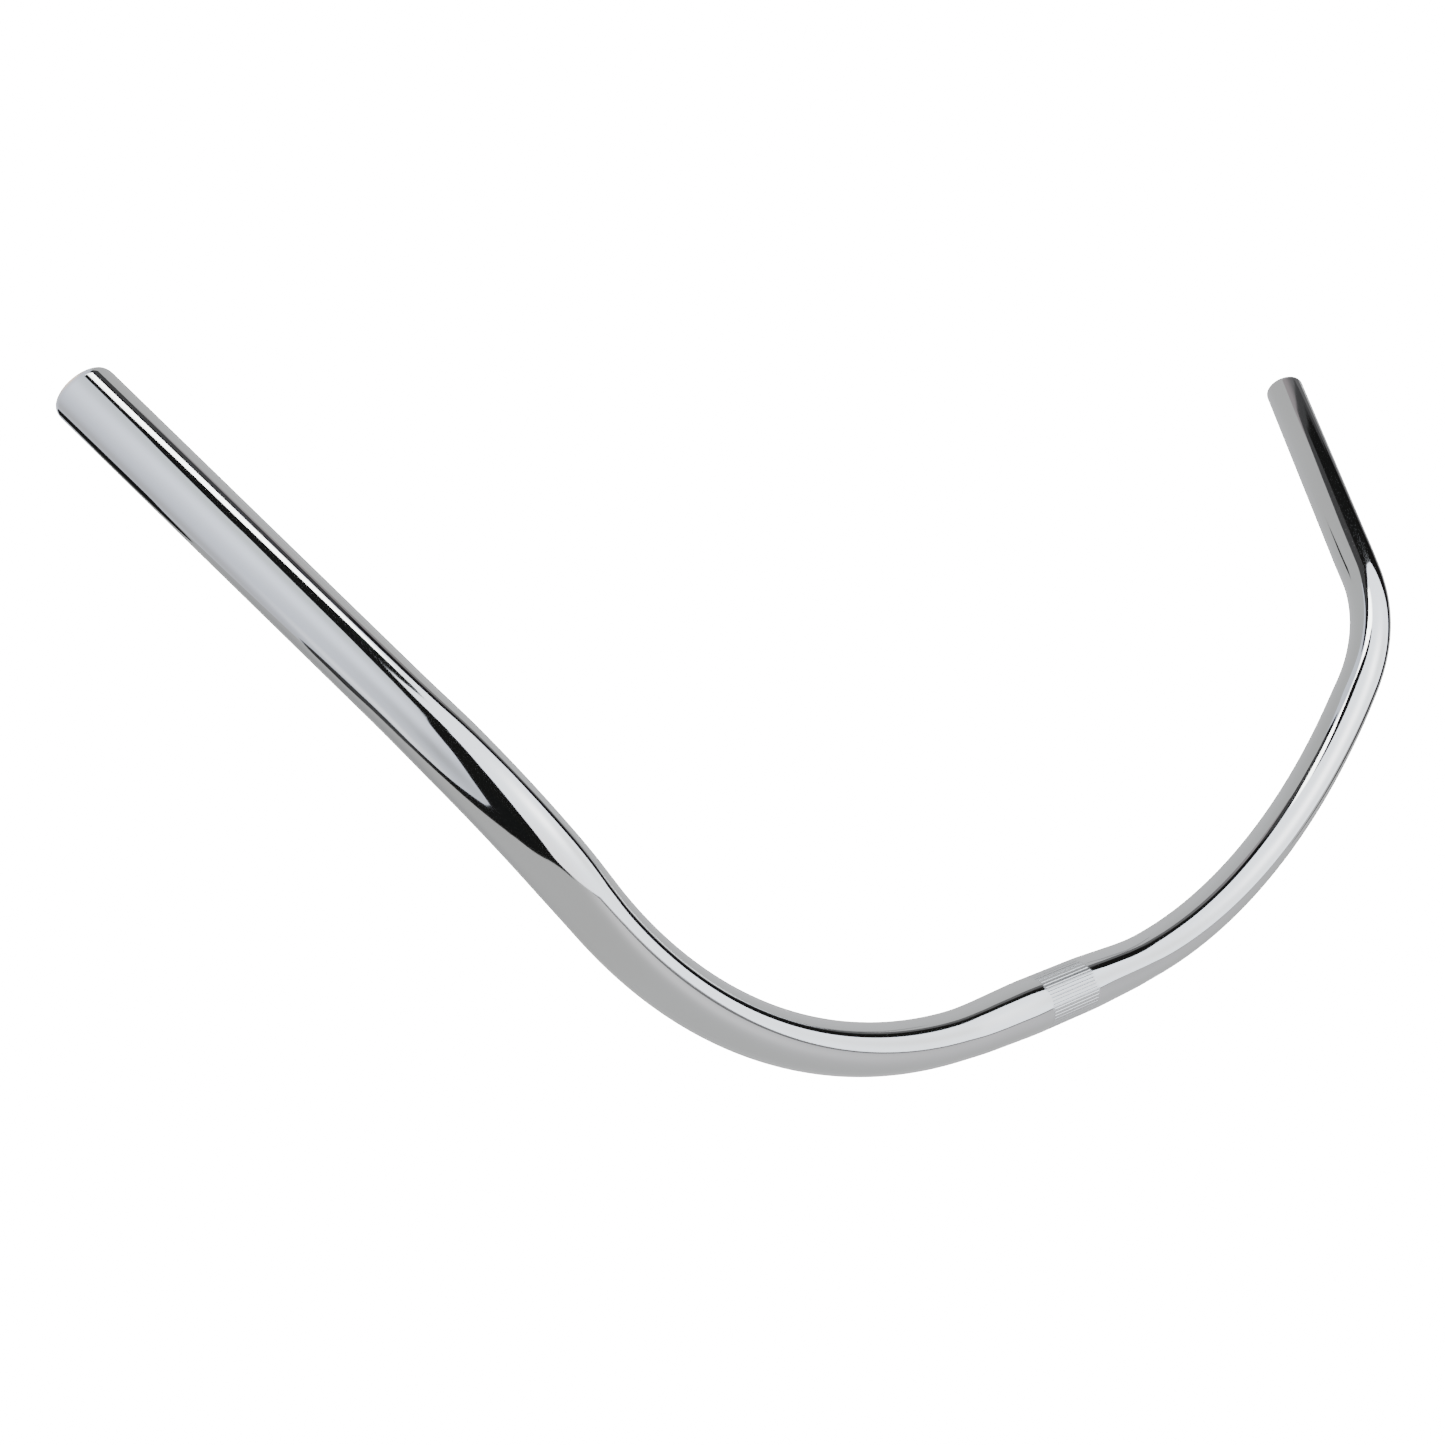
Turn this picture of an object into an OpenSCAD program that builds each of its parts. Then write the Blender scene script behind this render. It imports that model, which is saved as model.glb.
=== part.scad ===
// Pulled-back bicycle handlebar: one formed steel tube with a swelled and
// knurled centre, two bends on each side and straight grip ends.
// Millimetres. X runs across the bar through the middle of the clamp centre,
// +Y points forward and +Z up, with the grips level and pointing back.

/* [Tube] */
// Outside diameter of the bends and grips
tube_d = 22.2; // [20:0.1:23]
// Wall thickness of the tube
wall = 1.6; // [1.2:0.1:2.2]
// Size of the chamfer round both edges of an open end
rim_chamfer = 0.5; // [0.2:0.1:0.7]

/* [Clamp centre] */
// Outside diameter of the swelled centre
clamp_d = 25.4; // [24:0.1:26]
// Length of the knurled band in the middle
knurl_length = 34; // [24:1:36]
// Plain full-size length on each side of the knurl
shoulder_length = 4; // [2:1:6]
// Half length of the straight centre, up to the first bends
straight_half = 48; // [46:1:60]

/* [Knurl] */
// Number of lengthwise flutes round the bar
flute_count = 48; // [36:2:60]
// Width of a flute at the surface
flute_width = 0.34; // [0.2:0.02:0.4]
// Depth of a flute
flute_depth = 0.3; // [0.2:0.05:0.5]

/* [Main bends] */
// Centreline radius of the bend beside the clamp centre
main_bend_radius = 255; // [200:5:300]
// Angle turned by that bend
main_bend_angle = 53.5; // [45:0.5:60]

/* [Grip bends] */
// Straight length between the two bends
link_length = 10; // [5:1:30]
// Centreline radius of the bend beside the grip
grip_bend_radius = 117; // [90:1:140]
// Angle turned by that bend
grip_bend_angle = 37.5; // [30:0.5:45]
// Twist of the grip bend's plane about the tube from the main bend's plane
grip_bend_twist = 85; // [75:1:95]

/* [Grips] */
// Straight length of each grip end
grip_length = 158; // [120:1:180]

/* [Hidden] */
$fn = 96;

tube_r = tube_d / 2;
tube_bore_r = tube_r - wall;
clamp_r = clamp_d / 2;
clamp_bore_r = clamp_r - wall;
knurl_half = knurl_length / 2;
taper_start = knurl_half + shoulder_length;
taper_length = straight_half - taper_start;
chrome = "gainsboro";
knurl_chrome = "silver";

// How far a cut runs past the solid it cuts
past = 1;

// Direction of the right grip before the bar is turned level
grip_forward = sin(main_bend_angle) * cos(grip_bend_angle)
    + cos(main_bend_angle) * sin(grip_bend_angle) * cos(grip_bend_twist);
grip_side = sin(grip_bend_angle) * sin(grip_bend_twist);

// Turn about X that lays the grips level and pointing back
level_turn = 180 - atan2(grip_side, grip_forward);

// A straight length of tube from the local origin along +X
module straight_tube(length, outer_r, bore_r) {
    rotate([0, 90, 0])
        difference() {
            cylinder(h = length, r = outer_r);
            translate([0, 0, -past]) cylinder(h = length + 2 * past, r = bore_r);
        }
}

// A bent length of tube that starts at the local origin along +X and turns towards +Y
module bent_tube(bend_radius, angle) {
    translate([0, bend_radius, 0])
        rotate([0, 0, -90])
            rotate_extrude(angle = angle)
                translate([bend_radius, 0])
                    difference() {
                        circle(r = tube_r);
                        circle(r = tube_bore_r);
                    }
}

// Moves its children to the far end of a bend that starts at the local origin
module past_bend(bend_radius, angle) {
    translate([bend_radius * sin(angle), bend_radius * (1 - cos(angle)), 0])
        rotate([0, 0, angle])
            children();
}

// Moves its children to the start of each stretch of the right half
module level() {
    rotate([level_turn, 0, 0]) children();
}

module at_main_bend() {
    level() translate([straight_half, 0, 0]) children();
}

module at_link() {
    at_main_bend() past_bend(main_bend_radius, main_bend_angle) children();
}

module at_grip_bend() {
    at_link() translate([link_length, 0, 0]) rotate([grip_bend_twist, 0, 0]) children();
}

module at_grip() {
    at_grip_bend() past_bend(grip_bend_radius, grip_bend_angle) children();
}

// The left half is the mirror image of the right
module on_left() {
    mirror([1, 0, 0]) children();
}

module clamp_shoulder() {
    color(chrome)
        translate([knurl_half, 0, 0]) straight_tube(shoulder_length, clamp_r, clamp_bore_r);
}

module swage_taper() {
    color(chrome)
        translate([taper_start, 0, 0])
            rotate([0, 90, 0])
                rotate_extrude()
                    polygon([
                        [clamp_bore_r, 0],
                        [clamp_r, 0],
                        [tube_r, taper_length],
                        [tube_bore_r, taper_length]
                    ]);
}

module main_bend() {
    color(chrome) at_main_bend() bent_tube(main_bend_radius, main_bend_angle);
}

module link_tube() {
    color(chrome) at_link() straight_tube(link_length, tube_r, tube_bore_r);
}

module grip_bend() {
    color(chrome) at_grip_bend() bent_tube(grip_bend_radius, grip_bend_angle);
}

// The open end has both edges of its rim chamfered
module grip_tube() {
    color(chrome)
        at_grip()
            rotate([0, 90, 0])
                rotate_extrude()
                    polygon([
                        [tube_bore_r, 0],
                        [tube_r, 0],
                        [tube_r, grip_length - rim_chamfer],
                        [tube_r - rim_chamfer, grip_length],
                        [tube_bore_r + rim_chamfer, grip_length],
                        [tube_bore_r, grip_length - rim_chamfer]
                    ]);
}

// The flutes are cut lengthwise, so that the crests between them stay at full diameter
module knurled_centre() {
    color(knurl_chrome)
        difference() {
            translate([-knurl_half, 0, 0]) straight_tube(knurl_length, clamp_r, clamp_bore_r);
            for (i = [0 : flute_count - 1])
                rotate([i * 360 / flute_count, 0, 0])
                    translate([-knurl_half - past, -flute_width / 2, clamp_r - flute_depth])
                        cube([knurl_length + 2 * past, flute_width, flute_depth + past]);
        }
}

module left_clamp_shoulder() { on_left() clamp_shoulder(); }
module left_swage_taper() { on_left() swage_taper(); }
module left_main_bend() { on_left() main_bend(); }
module left_link_tube() { on_left() link_tube(); }
module left_grip_bend() { on_left() grip_bend(); }
module left_grip_tube() { on_left() grip_tube(); }

knurled_centre();
left_clamp_shoulder();
clamp_shoulder();  // right_clamp_shoulder
left_swage_taper();
swage_taper();  // right_swage_taper
left_main_bend();
main_bend();  // right_main_bend
left_link_tube();
link_tube();  // right_link_tube
left_grip_bend();
grip_bend();  // right_grip_bend
left_grip_tube();
grip_tube();  // right_grip_tube
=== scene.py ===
import math

import bpy
import numpy as np
from mathutils import Euler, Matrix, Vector


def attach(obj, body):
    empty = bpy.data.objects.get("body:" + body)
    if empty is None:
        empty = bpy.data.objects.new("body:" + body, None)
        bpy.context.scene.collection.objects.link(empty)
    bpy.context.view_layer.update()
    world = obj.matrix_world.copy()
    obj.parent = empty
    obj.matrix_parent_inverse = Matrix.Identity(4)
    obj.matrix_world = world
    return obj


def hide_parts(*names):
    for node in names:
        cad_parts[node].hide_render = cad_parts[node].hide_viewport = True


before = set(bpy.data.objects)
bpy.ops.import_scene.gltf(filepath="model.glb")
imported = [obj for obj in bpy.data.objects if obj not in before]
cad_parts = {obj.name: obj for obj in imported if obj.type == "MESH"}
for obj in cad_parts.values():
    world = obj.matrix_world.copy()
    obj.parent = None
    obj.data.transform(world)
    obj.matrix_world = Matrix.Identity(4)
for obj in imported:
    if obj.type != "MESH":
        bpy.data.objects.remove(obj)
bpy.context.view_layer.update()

# ---------------------------------------------------------------- driving dimensions, in metres

TUBE_R = 0.0111
CLAMP_R = 0.0127
WALL = 0.0016
KNURL_HALF = 0.017
SHOULDER_END = 0.021
STRAIGHT_HALF = 0.048
SWELL_END = 0.072
SWELL_EASE = 0.2
MAIN_BEND_R = 0.255
MAIN_BEND = math.radians(53.5)
LINK = 0.010
GRIP_BEND_R = 0.117
GRIP_BEND = math.radians(37.5)
GRIP_BEND_TURN = math.radians(85)
GRIP = 0.158

# The rounded outer edge of the open ends: how far it turns in, and over what length
RIM_ROUND = 0.0009
RIM_LONG = 0.0024
RIM_SWEEPS = np.radians([15, 30, 45, 60, 70, 78, 84, 90])

# Each bend is a little flattened in its own plane, as bent tube is
MAIN_OVAL = 0.006
GRIP_OVAL = 0.034
OVAL_RAMP = 0.030

# The band: rounded crests between shallow lengthwise flutes that run out at both ends
FLUTES = 48
FLUTE_DEPTH = 0.00016
FLUTE_SHARE = 0.5
FLUTE_RUNOUT = 0.0009
POINTS_PER_FLUTE = 12

# The weld seam inside the tube
SEAM_HEIGHT = 0.00035
SEAM_HALF_ANGLE = math.radians(6)
SEAM_AT = math.radians(250)

SIDES = 96
RING_STEP = 0.0025

MAIN_START = STRAIGHT_HALF
LINK_START = MAIN_START + MAIN_BEND_R * MAIN_BEND
GRIP_BEND_START = LINK_START + LINK
GRIP_START = GRIP_BEND_START + GRIP_BEND_R * GRIP_BEND
TIP = GRIP_START + GRIP

# Each stretch of one half: its name, where it starts and where it ends along the tube
STRETCHES = [
    ("clamp_shoulder", KNURL_HALF, SHOULDER_END),
    ("swage_taper", SHOULDER_END, STRAIGHT_HALF),
    ("main_bend", MAIN_START, LINK_START),
    ("link_tube", LINK_START, GRIP_BEND_START),
    ("grip_bend", GRIP_BEND_START, GRIP_START),
    ("grip_tube", GRIP_START, TIP),
]

# The legs of the middle line: length, or radius, angle and the way round the tube that it bends
LEGS = [
    (STRAIGHT_HALF, 0, 0),
    (MAIN_BEND_R, MAIN_BEND, 0),
    (LINK, 0, 0),
    (GRIP_BEND_R, GRIP_BEND, GRIP_BEND_TURN),
    (GRIP, 0, 0),
]


# ---------------------------------------------------------------- the tube's middle line

def turn(axis, angle):
    """The rotation matrix about a unit axis."""
    x, y, z = axis
    cross = np.array([[0, -z, y], [z, 0, -x], [-y, x, 0]])
    return np.eye(3) + math.sin(angle) * cross + (1 - math.cos(angle)) * cross @ cross


def level_turn():
    """The turn about X that lays the grips level, pointing back."""
    forward = (math.sin(MAIN_BEND) * math.cos(GRIP_BEND)
               + math.cos(MAIN_BEND) * math.sin(GRIP_BEND) * math.cos(GRIP_BEND_TURN))
    side = math.sin(GRIP_BEND) * math.sin(GRIP_BEND_TURN)
    return math.pi - math.atan2(side, forward)


def station(s):
    """The point at this length along the right half, and the tube's own axes there as columns."""
    point, axes = np.zeros(3), turn((1, 0, 0), level_turn())
    for size, angle, way in LEGS:
        length = size * angle if angle else size
        part = min(s, length)
        if angle:
            toward = axes @ np.array([0, math.cos(way), math.sin(way)])
            turned = turn(np.cross(axes[:, 0], toward), part / size)
            point = point + size * (toward - turned @ toward)
            axes = turned @ axes
        else:
            point = point + axes[:, 0] * part
        s -= part
        if s <= 1e-9:
            break
    return point, axes


# ---------------------------------------------------------------- the tube's radius

def smooth(x):
    """0 to 1 with level ends."""
    x = np.clip(x, 0.0, 1.0)
    return x * x * (3 - 2 * x)


def eased_ramp(x, ease):
    """0 to 1 in a straight line with a rounded start and finish."""
    x = min(max(x, 0.0), 1.0)
    if x < ease:
        return x * x / (2 * ease * (1 - ease))
    if x > 1 - ease:
        return 1 - (1 - x) ** 2 / (2 * ease * (1 - ease))
    return (x - ease / 2) / (1 - ease)


def flattening(s, start, end):
    """How far a bend's flattening is in force: it comes and goes gradually at the bend's ends."""
    return smooth((s - start) / OVAL_RAMP + 0.5) * smooth((end - s) / OVAL_RAMP + 0.5)


def outside(s, angles):
    """The outside radius round the tube."""
    swell = 1 - eased_ramp((abs(s) - KNURL_HALF) / (SWELL_END - KNURL_HALF), SWELL_EASE)
    radius = TUBE_R + (CLAMP_R - TUBE_R) * swell
    main = MAIN_OVAL * flattening(s, SWELL_END, LINK_START)
    grip = GRIP_OVAL * flattening(s, GRIP_BEND_START, GRIP_START)
    return radius * (1 - main * np.cos(2 * angles) - grip * np.cos(2 * (angles - GRIP_BEND_TURN)))


def fluted(s, angles):
    """The outside radius of the band, flutes and all."""
    place = (angles * FLUTES / (2 * math.pi)) % 1.0 - 0.5
    trough = smooth(1 - abs(place) * 2 / FLUTE_SHARE)
    run = smooth((KNURL_HALF - abs(s)) / FLUTE_RUNOUT - 0.6)
    return outside(s, angles) - FLUTE_DEPTH * trough * run


def bore(s, angles):
    """The inside radius, with the weld seam standing in from it."""
    off = (angles - SEAM_AT + math.pi) % (2 * math.pi) - math.pi
    return outside(s, angles) - WALL - SEAM_HEIGHT * np.exp(-((off / SEAM_HALF_ANGLE) ** 2))


# ---------------------------------------------------------------- meshes

def ring(s, radius_at, sides, shrink=0.0, lean=None):
    """One ring of points, their normals and their places on the unbent tube.

    On the rounded rim, shrink is how far the ring turns in and lean how far its normals tip outward.
    """
    angles = np.arange(sides) * 2 * math.pi / sides
    point, axes = station(abs(s))
    if s < 0:
        point = point * [-1, 1, 1]
    small = 1e-5
    radius = radius_at(s, angles)
    along = (radius_at(s + small, angles) - radius_at(s - small, angles)) / (2 * small)
    around = (radius_at(s, angles + small) - radius_at(s, angles - small)) / (2 * small) / radius
    across = [np.cos(angles), np.sin(angles)]
    out = np.outer(across[0], axes[:, 1]) + np.outer(across[1], axes[:, 2])
    side = np.outer(across[0], axes[:, 2]) - np.outer(across[1], axes[:, 1])
    if lean is None:
        normal = out - along[:, None] * axes[:, 0] - around[:, None] * side
    else:
        normal = math.cos(lean) * out + math.sin(lean) * axes[:, 0]
    normal = normal / np.linalg.norm(normal, axis=1)[:, None]
    radius = radius - shrink
    unbent = np.stack([np.full(sides, s), radius * across[0], radius * across[1]], axis=1)
    return point + radius[:, None] * out, normal, unbent


def steps(start, end):
    """Ring places from start to end, about one step apart."""
    count = max(2, math.ceil((end - start) / RING_STEP) + 1)
    return list(np.linspace(start, end, count))


def wall(outer, inner):
    """A closed wall from rings outside, rings inside and flat faces at both ends."""
    sides = len(outer[0][0])
    rings = outer + inner[::-1]
    points = np.concatenate([r[0] for r in rings])
    normals = np.concatenate([r[1] for r in rings[:len(outer)]] + [-r[1] for r in rings[len(outer):]])
    unbent = np.concatenate([r[2] for r in rings])
    faces, kinds = [], []
    for i in range(len(rings)):
        n = (i + 1) % len(rings)
        kind = "end" if i in (len(outer) - 1, len(rings) - 1) else "outside" if i < len(outer) else "bore"
        for j in range(sides):
            k = (j + 1) % sides
            faces.append((i * sides + j, i * sides + k, n * sides + k, n * sides + j))
            kinds.append(kind)
    return points, normals, unbent, faces, kinds


def make_piece(node, built, skin, mirror=False):
    """A mesh that stands for one CAD node. Its normals are the tube's own, so its joins don't show."""
    points, normals, unbent, faces, kinds = built
    if mirror:
        flip = np.array([-1, 1, 1])
        points, normals, unbent = points * flip, normals * flip, unbent * flip
        faces = [face[::-1] for face in faces]
    mesh = bpy.data.meshes.new("plated_" + node)
    mesh.from_pydata(points.tolist(), [], faces)
    mesh.materials.append(skin)
    mesh.materials.append(bare_steel)
    mesh.polygons.foreach_set("use_smooth", [True] * len(faces))
    mesh.polygons.foreach_set("material_index", [int(kind == "bore") for kind in kinds])
    if mesh.polygons[0].normal.dot(Vector(normals[faces[0][0]])) < 0:
        mesh.flip_normals()
    place = mesh.attributes.new("unbent", "FLOAT_VECTOR", "POINT")
    place.data.foreach_set("vector", unbent.ravel())
    mesh.normals_split_custom_set([
        poly.normal[:] if kind == "end" else tuple(normals[index])
        for poly, kind in zip(mesh.polygons, kinds) for index in poly.vertices
    ])
    piece = bpy.data.objects.new(mesh.name, mesh)
    bpy.context.scene.collection.objects.link(piece)
    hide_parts(node)
    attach(piece, "root")


# ---------------------------------------------------------------- materials

def new_material(name):
    """A metal, with its node tree and its shader."""
    material = bpy.data.materials.new(name)
    material.use_nodes = True
    tree = material.node_tree
    shader = tree.nodes["Principled BSDF"]
    shader.inputs["Metallic"].default_value = 1.0
    return material, tree, shader


def unbent_noise(tree, scale, detail, seed, stretch=1.0):
    """Noise laid on the unbent tube, so that it follows the bends; stretch draws it out lengthwise."""
    place = tree.nodes.new("ShaderNodeAttribute")
    place.attribute_name = "unbent"
    mapping = tree.nodes.new("ShaderNodeMapping")
    mapping.inputs["Location"].default_value = (seed, seed * 0.7, seed * 0.3)
    mapping.inputs["Scale"].default_value = (scale / stretch, scale, scale)
    noise = tree.nodes.new("ShaderNodeTexNoise")
    noise.inputs["Scale"].default_value = 1.0
    noise.inputs["Detail"].default_value = detail
    tree.links.new(place.outputs["Vector"], mapping.inputs["Vector"])
    tree.links.new(mapping.outputs["Vector"], noise.inputs["Vector"])
    return noise.outputs["Fac"]


def ranged(tree, source, low, high, start=0.3, end=0.7):
    """The source's start-to-end range turned into low to high."""
    node = tree.nodes.new("ShaderNodeMapRange")
    node.inputs["From Min"].default_value = start
    node.inputs["From Max"].default_value = end
    node.inputs["To Min"].default_value = low
    node.inputs["To Max"].default_value = high
    tree.links.new(source, node.inputs["Value"])
    return node.outputs["Result"]


def tinted(tree, source, first, second, start=0.3, end=0.7):
    """Between two colours as the source goes from start to end."""
    ramp = tree.nodes.new("ShaderNodeValToRGB")
    ramp.color_ramp.elements[0].position = start
    ramp.color_ramp.elements[0].color = (*first, 1)
    ramp.color_ramp.elements[1].position = end
    ramp.color_ramp.elements[1].color = (*second, 1)
    tree.links.new(source, ramp.inputs["Fac"])
    return ramp.outputs["Color"]


def bumped(tree, shader, layers):
    """Height layers, each a source and a depth in metres, one upon another."""
    normal = None
    for source, depth in layers:
        bump = tree.nodes.new("ShaderNodeBump")
        bump.inputs["Strength"].default_value = 1.0
        bump.inputs["Distance"].default_value = depth
        tree.links.new(source, bump.inputs["Height"])
        if normal is not None:
            tree.links.new(normal, bump.inputs["Normal"])
        normal = bump.outputs["Normal"]
    tree.links.new(normal, shader.inputs["Normal"])


def plated(name, bright, dull, smoothest, roughest, ripple):
    """Polished chrome plate: faint lengthwise polishing lines, a slow ripple and light handling haze."""
    material, tree, shader = new_material(name)
    haze = unbent_noise(tree, 28, 4, 3.1, 3)
    polish = unbent_noise(tree, 5200, 2, 8.4, 60)
    slow = unbent_noise(tree, 170, 2, 5.7, 2.5)
    tree.links.new(tinted(tree, haze, bright, dull), shader.inputs["Base Color"])
    tree.links.new(ranged(tree, haze, smoothest, roughest, 0.35, 0.75), shader.inputs["Roughness"])
    bumped(tree, shader, [(slow, ripple), (polish, 0.0000002)])
    return material


def bare(name):
    """The inside of the tube: dull drawn steel with a brown bloom."""
    material, tree, shader = new_material(name)
    bloom = unbent_noise(tree, 160, 5, 1.9, 2)
    draw = unbent_noise(tree, 2600, 3, 6.2, 25)
    tree.links.new(tinted(tree, bloom, (0.30, 0.29, 0.28), (0.17, 0.13, 0.10)), shader.inputs["Base Color"])
    tree.links.new(ranged(tree, bloom, 0.42, 0.66), shader.inputs["Roughness"])
    bumped(tree, shader, [(draw, 0.00001)])
    return material


chrome = plated("chrome_plate", (0.77, 0.78, 0.79), (0.715, 0.715, 0.715), 0.035, 0.075, 0.0000010)
knurl_chrome = plated("knurl_plate", (0.73, 0.74, 0.75), (0.67, 0.675, 0.685), 0.24, 0.32, 0.000001)
bare_steel = bare("bare_steel")


# ---------------------------------------------------------------- the bar

band_places = ([-KNURL_HALF + FLUTE_RUNOUT * t for t in np.linspace(0, 2, 9)]
               + list(np.linspace(-KNURL_HALF + 2 * FLUTE_RUNOUT, KNURL_HALF - 2 * FLUTE_RUNOUT, 9))[1:-1]
               + [KNURL_HALF - FLUTE_RUNOUT * t for t in np.linspace(2, 0, 9)])
band_sides = FLUTES * POINTS_PER_FLUTE
band = wall([ring(s, fluted, band_sides) for s in band_places],
            [ring(s, bore, band_sides) for s in (-KNURL_HALF, 0.0, KNURL_HALF)])
make_piece("knurled_centre", band, knurl_chrome)

for name, start, end in STRETCHES:
    outer = [ring(s, outside, SIDES) for s in steps(start, end)]
    inner = [ring(s, bore, SIDES) for s in steps(start, end)]
    if end == TIP:
        outer = [ring(s, outside, SIDES) for s in steps(start, end - RIM_LONG)]
        for sweep in RIM_SWEEPS:
            lean = math.atan2(math.sin(sweep) / RIM_LONG, math.cos(sweep) / RIM_ROUND)
            outer.append(ring(TIP - RIM_LONG * (1 - math.sin(sweep)), outside, SIDES,
                              RIM_ROUND * (1 - math.cos(sweep)), lean))
    built = wall(outer, inner)
    make_piece("right_" + name, built, chrome)
    make_piece("left_" + name, built, chrome, mirror=True)


# ---------------------------------------------------------------- what the chrome reflects

# A light tent of glowing cards. Their places and tones were chosen by looking at which
# directions the chrome in the photo reflects and how light or dark it is there.
TENT_R = 1.0
TENT_AT = Vector((0.0, -0.12, 0.05))
LAYER_GAP = 0.004

WHITE = (2.6, 2.75, 2.95)
STRIP = (9.0, 9.2, 8.9)
PANEL = (1.03, 1.10, 1.26)
GREY = (0.66, 0.67, 0.67)
SHADE = (0.17, 0.17, 0.175)
FRINGE = (0.075, 0.075, 0.078)
BLACK = (0.013, 0.013, 0.013)


def aim(lon, lat):
    """A direction: lon from straight back toward the right, lat up from level, both in degrees."""
    lon, lat = math.radians(lon), math.radians(lat)
    return Vector((math.cos(lat) * math.sin(lon), -math.cos(lat) * math.cos(lon), math.sin(lat)))


def glow_material():
    """Light of the colour that each card carries at its own points."""
    material = bpy.data.materials.new("tent_glow")
    material.use_nodes = True
    tree = material.node_tree
    tree.nodes.remove(tree.nodes["Principled BSDF"])
    colour = tree.nodes.new("ShaderNodeAttribute")
    colour.attribute_name = "glow"
    light = tree.nodes.new("ShaderNodeEmission")
    tree.links.new(colour.outputs["Color"], light.inputs["Color"])
    tree.links.new(light.outputs["Emission"], tree.nodes["Material Output"].inputs["Surface"])
    return material


tent_glow = glow_material()


def tent_part(name, directions, faces, glow, layer):
    """A glowing part of the tent that only reflections see. A higher layer hides a lower one."""
    reach = TENT_R * (1 - LAYER_GAP * layer)
    mesh = bpy.data.meshes.new(name)
    mesh.from_pydata([TENT_AT + d.normalized() * reach for d in directions], [], faces)
    mesh.materials.append(tent_glow)
    colours = mesh.attributes.new("glow", "FLOAT_COLOR", "POINT")
    for item, direction in zip(colours.data, directions):
        item.color = (*glow(direction.normalized()), 1)
    part = bpy.data.objects.new(name, mesh)
    bpy.context.scene.collection.objects.link(part)
    for ray in ("camera", "diffuse", "transmission", "volume_scatter", "shadow"):
        setattr(part, "visible_" + ray, False)


def blended(base, spots):
    """A glow that is the base colour, moved toward each spot's colour near that spot."""
    base = Vector(base)
    spots = [(aim(lon, lat), math.radians(size), Vector(colour)) for lon, lat, size, colour in spots]

    def glow(direction):
        colour = base
        for centre, size, other in spots:
            share = math.exp(-((direction.angle(centre) / size) ** 2))
            colour = colour.lerp(other, share)
        return colour
    return glow


def curve(points, count):
    """A smooth run of values through the points (Catmull-Rom)."""
    points = [Vector(p) for p in points]
    points = [points[0] * 2 - points[1]] + points + [points[-1] * 2 - points[-2]]
    run = []
    for i in range(count):
        t = i / (count - 1) * (len(points) - 3)
        k = min(int(t), len(points) - 4)
        a, b, c, d = points[k:k + 4]
        t -= k
        run.append(0.5 * (2 * b + (c - a) * t + (2 * a - 5 * b + 4 * c - d) * t * t
                          + (3 * b - a - 3 * c + d) * t ** 3))
    return run


def ribbon(name, path, glow, layer, count=60):
    """A strip along a path of (lon, lat, width), all in degrees."""
    rows = [(aim(lon, lat), math.radians(width)) for lon, lat, width in path]
    run = curve([(*d, w) for d, w in rows], count)
    middle = [Vector(p[:3]).normalized() for p in run]
    directions = []
    for i, p in enumerate(run):
        ahead = middle[min(i + 1, count - 1)] - middle[max(i - 1, 0)]
        across = ahead.cross(middle[i]).normalized() * math.tan(max(p[3], 0.0) / 2)
        directions += [middle[i] + across, middle[i] - across]
    faces = [(2 * i, 2 * i + 1, 2 * i + 3, 2 * i + 2) for i in range(count - 1)]
    tent_part(name, directions, faces, glow, layer)


def patch(name, centre, outline, glow, layer, rings=12, count=120):
    """A filled card round a centre, its outline given as (lon, lat) in degrees."""
    middle = aim(*centre)
    closed = [aim(*p) for p in outline] + [aim(*outline[0])]
    edge = [d.normalized() for d in curve(closed, count + 1)][:-1]
    directions = [middle]
    for i in range(1, rings + 1):
        for d in edge:
            directions.append(middle.slerp(d, i / rings))
    faces = []
    for j in range(count):
        k = (j + 1) % count
        faces.append((0, 1 + j, 1 + k))
        for i in range(rings - 1):
            a = 1 + i * count
            faces.append((a + j, a + count + j, a + count + k, a + k))
    tent_part(name, directions, faces, glow, layer)


def shell(name, glow):
    """The whole tent, behind every card."""
    rows, columns = 45, 90
    directions = [aim(-180 + 360 * j / columns, -90 + 180 * i / rows)
                  for i in range(rows + 1) for j in range(columns)]
    faces = [(i * columns + j, i * columns + (j + 1) % columns,
              (i + 1) * columns + (j + 1) % columns, (i + 1) * columns + j)
             for i in range(rows) for j in range(columns)]
    tent_part(name, directions, faces, glow, 0)


shell("tent_shell", blended(GREY, [
    (75, -52, 22, (0.47, 0.48, 0.49)),
    (-145, 8, 24, (0.84, 0.84, 0.87)),
    (-158, 20, 14, (1.10, 1.10, 1.12)),
    (-50, -12, 34, (0.80, 0.82, 0.84)),
    (-100, -55, 24, (0.95, 0.95, 1.0)),
]))
patch("tent_top", (0, 89.9),
      [(-180, 30), (-168, 29.5), (-158, 28.5), (-150, 27), (-141, 23.5), (-132, 22), (-124, 20),
       (-116, 17), (-106, 13), (-95, 18), (-80, 28), (-66, 35), (-54, 40), (-38, 44), (-20, 43),
       (0, 41), (20, 48), (40, 60), (70, 66), (100, 62), (130, 55), (150, 45), (160, 33)],
      blended(WHITE, [(-122, 61, 15, (4.8, 4.8, 4.9)), (-110, 35, 12, (2.25, 2.3, 2.35)),
                      (175, 38, 18, (2.4, 2.4, 2.5))]), 1)
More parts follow.
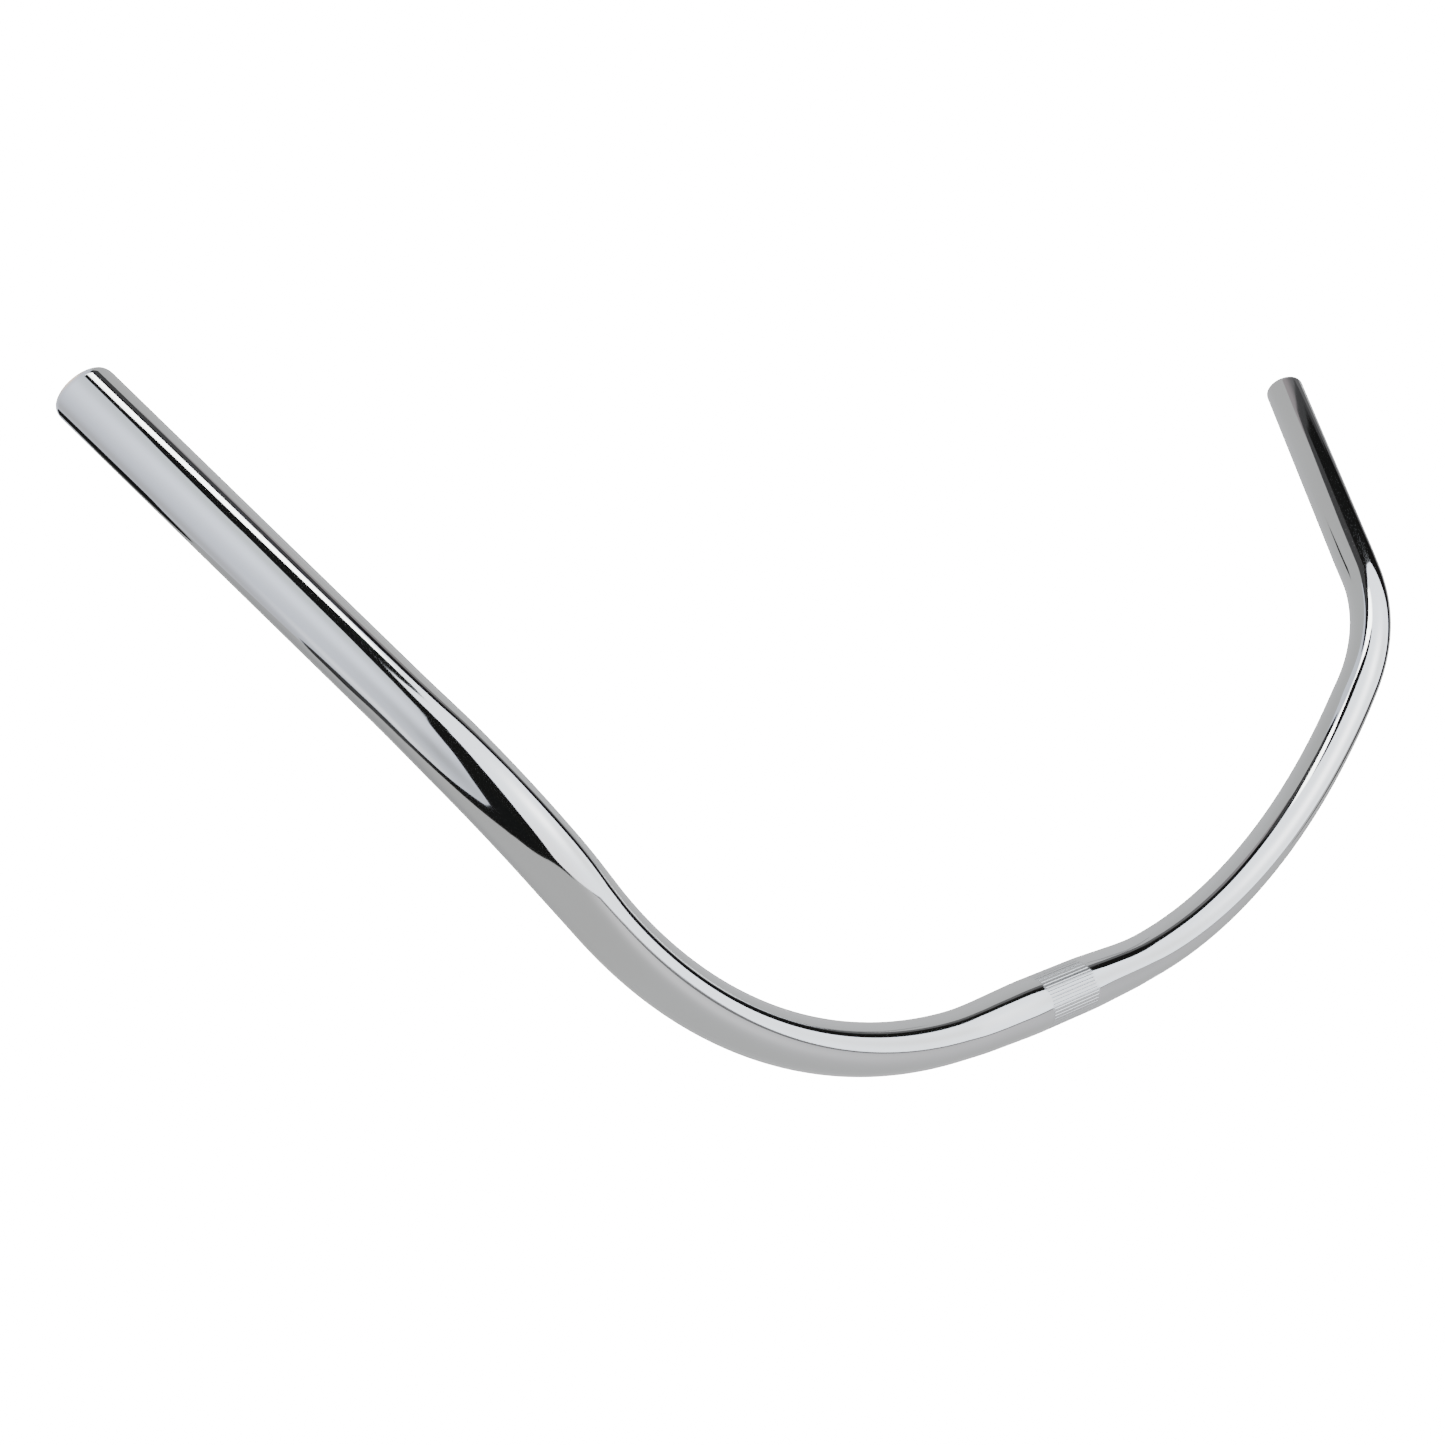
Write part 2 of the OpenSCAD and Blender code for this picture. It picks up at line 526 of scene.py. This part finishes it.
patch("tent_panel", (50, 10),
      [(16, 13), (8, 30), (10, 42), (24, 48), (36, 52), (55, 62), (79, 60), (92, 53), (108, 47),
       (118, 37), (125, 21), (125, 10), (116, -1), (107, -10), (98, -15), (91, -25), (80, -33),
       (63, -38), (49, -44), (33, -45), (18, -30), (12, -10)],
      blended(PANEL, [
          (84, 33, 24, (1.72, 1.84, 2.08)),
          (62, 52, 12, (1.10, 1.20, 1.24)),
          (78, -24, 14, (0.70, 0.71, 0.76)),
          (107, 20, 14, (0.72, 0.76, 0.83)),
          (105, -3, 5, (1.35, 1.40, 1.46)),
          (97, -8, 6, (1.75, 1.80, 1.92)),
          (42, 4, 13, (2.9, 2.15, 1.55)),
      ]), 2)
ribbon("tent_top_edge",
       [(-168, 29, 0.5), (-156, 27, 2), (-147, 23, 2.4), (-138, 21.2, 2.4), (-130, 20.8, 1.6),
        (-124, 19, 0.5)],
       blended((0.22, 0.22, 0.23), []), 3)
ribbon("tent_strip",
       [(-17, 57, 2), (-10, 56, 9), (-3, 55.5, 13), (5, 52.5, 16), (14, 50, 16), (22, 48, 12),
        (30, 45, 8), (37, 41, 3)],
       blended(STRIP, [(-17, 57, 7, WHITE), (34, 45, 7, WHITE)]), 3)
ribbon("tent_first_shade",
       [(-90, 8, 4), (-78, 14, 11), (-65, 24, 13), (-50, 31, 13), (-35, 33, 12), (-20, 32, 11),
        (-8, 31, 8)],
       blended(SHADE, [(-18, 30, 16, (0.46, 0.42, 0.44))]), 4)
ribbon("tent_first_fringe",
       [(-122, 9, 2), (-113, 9, 10), (-104, 9, 12.5), (-95, 13, 12.5), (-86, 18, 13.5), (-78, 24, 15),
        (-70, 29, 15), (-62, 33, 14), (-54, 38, 13), (-42, 42, 12.5), (-30, 43.3, 14),
        (-20, 42.8, 16.5), (-12, 41, 18),
        (-4, 38.5, 17.5), (3, 36.8, 17), (9, 34.5, 16), (14, 29, 8)],
       blended(FRINGE, []), 5)
ribbon("tent_first_bar",
       [(-114, 10, 1), (-104, 9.5, 10), (-95, 13.5, 11), (-86, 18.5, 12), (-78, 24, 13), (-70, 30, 12),
        (-62, 34, 10.5), (-54, 39, 9.5), (-42, 42.5, 9), (-30, 43.8, 11), (-20, 43, 12.5), (-12, 41.8, 14),
        (-4, 39.5, 13), (3, 38, 12.5), (9, 35.5, 12), (14, 30, 6)],
       blended(BLACK, []), 6)
ribbon("tent_second_bar",
       [(-5, 64.5, 1), (3, 64.5, 7), (12, 64.3, 10), (20, 63, 12.5), (27, 61, 15), (34, 58, 19),
        (40, 57, 19),
        (46, 59.5, 15), (52, 60.8, 12), (60, 62.8, 10.5), (68, 64, 12.5), (82, 65.5, 17)],
       blended(BLACK, []), 7)
ribbon("tent_second_bar_root", [(38, 60, 14), (38, 54, 12), (38, 48, 9.5), (38, 42, 6)], blended(BLACK, []), 8)
patch("tent_window", (132, 40),
      [(76, 60), (83, 56.5), (91, 51), (100, 47.5), (106, 45), (110, 41.5), (114, 37), (118, 31),
       (121, 26), (123.5, 20), (123.5, 14), (120, 8), (126, 3.5), (131, 7.5), (136, 11), (141, 14.5),
       (147, 19), (153, 23.5), (162, 27), (174, 28.5), (164, 33), (161, 41), (157.5, 47.5), (152, 54),
       (146, 60), (137, 65.5), (125, 69), (110, 72), (90, 73), (76, 70)],
      blended(BLACK, []), 9)
ribbon("tent_window_tail",
       [(125, 9, 10), (119, 2, 8.5), (114, -4, 7.5), (109, -9, 7), (103, -13.5, 7), (98, -17, 7),
        (94, -20.5, 6.5), (91, -25, 5.5), (88.5, -30, 2.5)],
       blended(BLACK, [(95, -20, 9, (0.08, 0.08, 0.085))]), 10)
ribbon("tent_rim_bar", [(2, -30, 10), (12, -27, 16), (22, -25, 14), (30, -28, 9)], blended(BLACK, []), 11)
ribbon("tent_low_bar", [(72, -32, 1), (67, -34, 9), (62, -37, 12), (56, -41, 11), (49, -44, 8), (41, -46, 2)],
       blended(BLACK, [(45, -45, 6, SHADE)]), 11)


# ---------------------------------------------------------------- studio

FLOOR_DEPTH = -0.5
FLOOR_HALF = 30
SKY_STRENGTH = 17.0
SUN_ENERGY = 16.0
SUN_SPREAD = math.radians(50)
SUN_TILT = (math.radians(18), math.radians(-14), 0)

# The camera's place, turn and lens come from fitting the bar's outline to the photo
CAMERA_AT = (0.50046, 0.05221, 0.46100)
CAMERA_TURN = (math.radians(36.6032), math.radians(-27.3987), math.radians(151.1763))
CAMERA_LENS = 34.926
CAMERA_SENSOR = 36.0


def studio_floor(depth, size):
    """White paper far below the bar, which the chrome doesn't reflect."""
    mesh = bpy.data.meshes.new("studio_floor")
    mesh.from_pydata([(-size, -size, depth), (size, -size, depth), (size, size, depth), (-size, size, depth)],
                     [], [(0, 1, 2, 3)])
    material = bpy.data.materials.new("studio_paper")
    material.use_nodes = True
    tree = material.node_tree
    shader = tree.nodes["Principled BSDF"]
    shader.inputs["Roughness"].default_value = 0.9
    shader.inputs["Specular IOR Level"].default_value = 0.0
    noise = tree.nodes.new("ShaderNodeTexNoise")
    noise.inputs["Scale"].default_value = 6.0
    tree.links.new(tinted(tree, noise.outputs["Fac"], (0.86, 0.86, 0.86), (0.87, 0.87, 0.87)),
                   shader.inputs["Base Color"])
    mesh.materials.append(material)
    floor = bpy.data.objects.new("studio_floor", mesh)
    bpy.context.scene.collection.objects.link(floor)
    floor.visible_glossy = False


studio_floor(FLOOR_DEPTH, FLOOR_HALF)

sky = bpy.data.worlds.new("studio_sky")
sky.use_nodes = True
sky.node_tree.nodes["Background"].inputs["Color"].default_value = (1, 1, 1, 1)
sky.node_tree.nodes["Background"].inputs["Strength"].default_value = SKY_STRENGTH
bpy.context.scene.world = sky

lamp = bpy.data.lights.new("soft_key", "SUN")
lamp.energy = SUN_ENERGY
lamp.angle = SUN_SPREAD
key = bpy.data.objects.new("soft_key", lamp)
key.rotation_euler = Euler(SUN_TILT)
key.visible_glossy = False
bpy.context.scene.collection.objects.link(key)

lens = bpy.data.cameras.new("camera")
lens.lens = CAMERA_LENS
lens.sensor_width = CAMERA_SENSOR
camera = bpy.data.objects.new("camera", lens)
camera.location = CAMERA_AT
camera.rotation_euler = Euler(CAMERA_TURN)
bpy.context.scene.collection.objects.link(camera)
bpy.context.scene.camera = camera
